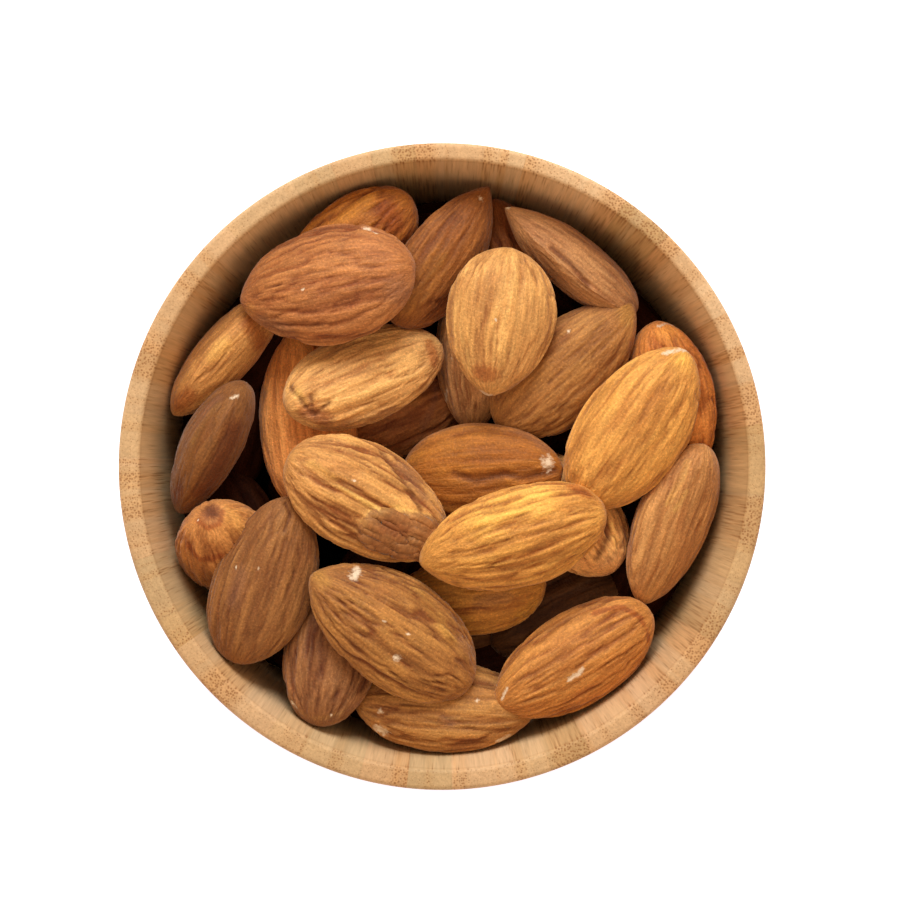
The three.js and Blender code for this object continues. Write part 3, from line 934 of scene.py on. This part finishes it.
def markSkin(mesh, rows):
    # Gives each vertex the strength of every kind of mark, and sinks or raises the skin there. A mark's
    # pixel is laid on the topmost skin of its own almond under that pixel.
    points = readPoints(mesh) / mm
    outwards = readPoints(mesh, "normal")
    number = readAttribute(mesh, "number")[:, 0].round().astype(int)
    eye = np.array([scene.camera.location.x, scene.camera.location.y]) / mm
    far = view["distance"] / (view["distance"] + rimHeight - points[:, 2:])
    seen = eye + (points[:, :2] - eye) * far  # where each vertex appears in the rim's plane
    fields = {kind: np.zeros(len(points)) for kind in ("chip", "bloom", "giltAndHighlight", "rustAndShade", "crease", "flap")}

    def touch(own, pixel):
        spot = (np.array(pixel) - view["bowlCentre"]) * [view["pixel"], -view["pixel"]]
        gap = np.hypot(*(seen[own] - spot).T)
        close = own[gap < max(0.3, gap.min() + 0.05)]
        return points[close[points[close, 2].argmax()]]

    for i, name in enumerate(rows):
        own = np.flatnonzero(number == i)
        for kind, width, pixels in skinMarks.get(name, ()):
            stops = [touch(own, pixel) for pixel in pixels]
            gap = np.full(len(own), np.inf)
            for start, end in zip(stops, stops[1:] or stops):
                along = end - start
                part = ((points[own] - start) @ along / max(along @ along, 1e-9)).clip(0, 1)[:, None]
                gap = np.minimum(gap, np.linalg.norm(points[own] - start - part * along, axis=1))
            fields[kind][own] = np.maximum(fields[kind][own], (1 - gap / width).clip(0, 1))
    onFlap = smooth(fields["flap"], 0.45, 0.52)
    lift = markLift["flap"] * onFlap + markLift["chip"] * smooth(fields["chip"], 0.4, 0.6)
    lift += markLift["crease"] * smooth(fields["crease"], 0, 1)
    writePoints(mesh, (points + outwards * lift[:, None]) * mm)
    furrows = mesh.attributes["relief"].data
    relief = np.empty(len(points), np.float32)
    furrows.foreach_get("value", relief)
    even = (flapFurrows["level"] - relief) * flapFurrows["evenness"]
    furrows.foreach_set("value", relief + (even * onFlap).astype(np.float32))
    for kind, field in fields.items():
        mesh.attributes.new(kind, "FLOAT", "POINT").data.foreach_set("value", field.astype(np.float32))


def smooth(values, low, high):
    part = ((values - low) / (high - low)).clip(0, 1)
    return part * part * (3 - 2 * part)


almondTree = makeAlmondTree()
skin = makeSkinMaterial("driedAlmondSkin", sheen=0.26, specular=0.3)
shadedSkin = makeSkinMaterial("shadedAlmondSkin", sheen=0, specular=0.05)  # no dusty sheen deep in the gaps
almondPieces = []
for name, rows, seed in (("almonds_top", topAlmonds, 11), ("almonds_wall", wallAlmonds, 12),
                         ("almonds_deep", deepAlmonds, 13)):
    almondPieces.append(growAlmonds(name, rows, seed, almondShape["sides"], almondShape["rings"], skin))
    print(name, "ready")
almondPieces.append(growAlmonds("almonds_under", hiddenAlmonds(), 14, under["sides"], under["rings"],
                                shadedSkin))
heapCore = {"edge": 17.3, "middle": 16.3, "turnSteps": 8, "sides": 96}  # mm, the heights of its top


def coreOutline():
    # the imported almonds that never show, as one dark body over the bowl's floor; it carries no skin tone,
    # so it shows black: painted shade
    bottom = bowlShape["floorThickness"] + clearance
    inner = bowlShape["innerFloorRadius"]
    knee = bowlShape["kneeHeight"]
    reach = roomRadius(knee)
    turn = arc((inner, knee), (reach - inner, knee - bottom), -90, 0, heapCore["turnSteps"])
    top = [(reach * 0.9, heapCore["edge"]), (reach * 0.5, heapCore["middle"])]
    return [(inner * 0.5, bottom), *turn], top


core = addObject(latheMesh("heap_core", *coreOutline(), heapCore["sides"]))
core.data.materials.append(shadedSkin)
almondPieces.append(core)
for piece in almondPieces:
    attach(piece, "root")
    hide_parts("almond_heap")
print("almonds ready")

tableTop = {
    "colour": "#f8f8f8",
    "glow": "#cbdcff",  # cool, as the warm fill would turn the white table yellowish
    "glowStrength": 0.74,
    "half": 3.0,  # m
}


def makeFloor():
    # a plain white table, lit a little from below so that it stays white round the bowl
    material, add = newMaterial("whiteTable")
    shader = add("ShaderNodeBsdfPrincipled", {"Base Color": hexToLinear(tableTop["colour"]), "Roughness": 0.9,
                                              "Emission Color": hexToLinear(tableTop["glow"]),
                                              "Emission Strength": tableTop["glowStrength"]})
    add("ShaderNodeOutputMaterial", {"Surface": shader}, out=None)
    half = tableTop["half"]
    corners = [(-half, -half, 0), (half, -half, 0), (half, half, 0), (-half, half, 0)]
    mesh = bpy.data.meshes.new("floor")
    mesh.from_pydata(corners, [], [(0, 1, 2, 3)])
    floor = addObject(mesh)
    mesh.materials.append(material)


makeFloor()
